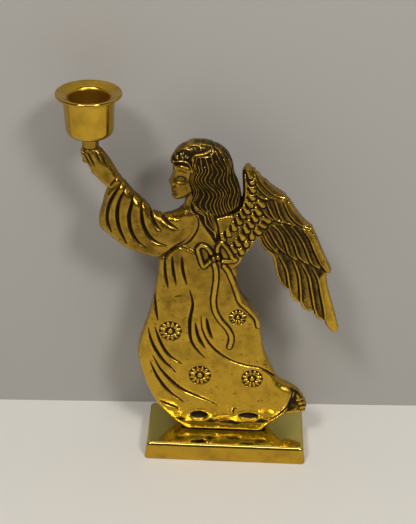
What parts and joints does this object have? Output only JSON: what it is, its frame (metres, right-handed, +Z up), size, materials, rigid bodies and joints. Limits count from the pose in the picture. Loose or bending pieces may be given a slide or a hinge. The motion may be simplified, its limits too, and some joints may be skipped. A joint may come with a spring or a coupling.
{
  "type": "candle holder",
  "caption": "Flat cast brass angel in profile on a rectangular base, holding up a turned cup for a taper candle in a raised hand.",
  "frame": {"origin": "on the table, under the middle of the whole holder's bounding box", "axes": "+Z up, the angel looks towards -X, its front face towards -Y"},
  "size_m": [0.1596, 0.0436, 0.2278],
  "materials": {
    "base_brass": "mirror polished, slightly wavy",
    "figure_brass": "polished high parts, dark brown patina in the recesses",
    "cup_brass": "turned and polished, with fine lathe marks",
    "screw_steel": "plain zinc plated"
  },
  "bodies": {
    "root": {"base_casting": "base_brass", "angel_figure": "figure_brass", "candle_cup": "cup_brass", "cup_screw": "screw_steel", "base_screw_left": "screw_steel", "base_screw_right": "screw_steel", "base_washer_left": "screw_steel", "base_washer_right": "screw_steel"}
  },
  "joints": []
}
